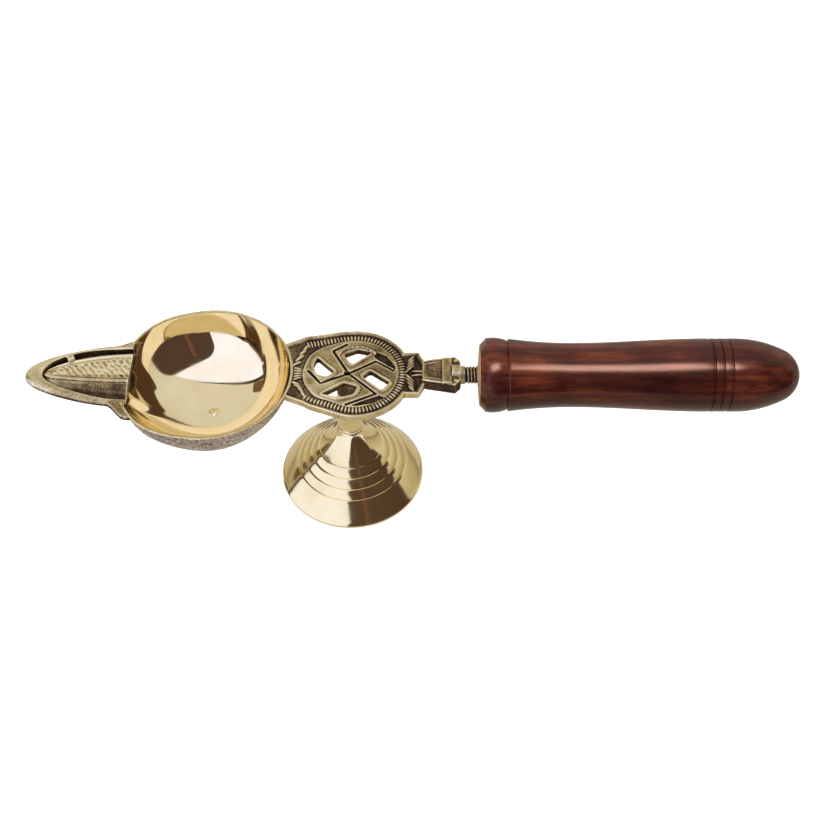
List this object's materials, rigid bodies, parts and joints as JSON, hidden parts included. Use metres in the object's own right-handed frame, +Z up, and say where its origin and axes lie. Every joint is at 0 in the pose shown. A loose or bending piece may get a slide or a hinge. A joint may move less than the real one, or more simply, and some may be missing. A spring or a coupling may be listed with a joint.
{
  "type": "aarti lamp",
  "caption": "Hand-held oil lamp: cast brass bowl with wick spout and pierced medallion on a turned foot, with a turned wooden handle.",
  "frame": {"origin": "centre of the foot's base, on the surface that the lamp stands on", "axes": "+X along the lamp from bowl to handle, +Z up along the foot's axis, +Y to the left seen from the bowl"},
  "size_m": [0.2549, 0.0564, 0.0649],
  "materials": {
    "cast_brass": "sand cast, dark in the recesses, bowl turned bright",
    "polished_brass": "turned and polished",
    "stud_brass": "threaded rod, dull",
    "lacquered_wood": "turned, stained red-brown and lacquered"
  },
  "bodies": {
    "lamp": {"lamp_casting": "cast_brass"},
    "handle_stud": {"handle_stud": "stud_brass"},
    "handle": {"handle": "lacquered_wood"},
    "foot_stud": {"foot_stud": "stud_brass"},
    "foot": {"foot": "polished_brass"}
  },
  "joints": [
    {"name": "handle_travel", "type": "slide", "parent": "lamp", "child": "handle_stud", "axis": [1, 0, 0], "range_m": [0, 0.008]},
    {"name": "handle_turn", "type": "hinge", "parent": "handle_stud", "child": "handle", "pos_m": [0.0428, 0, 0.0525], "axis": [1, 0, 0], "range_deg": [0, 2880]},
    {"name": "foot_travel", "type": "slide", "parent": "lamp", "child": "foot_stud", "axis": [0, 0, -1], "range_m": [0, 0.0063]},
    {"name": "foot_turn", "type": "hinge", "parent": "foot_stud", "child": "foot", "pos_m": [0, 0, 0.0448], "axis": [0, 0, -1], "range_deg": [0, 3240]}
  ],
  "couplings": [
    {"joint": "handle_travel", "follows": "handle_turn", "m_per_rad": 0.00015915},
    {"joint": "foot_travel", "follows": "foot_turn", "m_per_rad": 0.0001114}
  ]
}
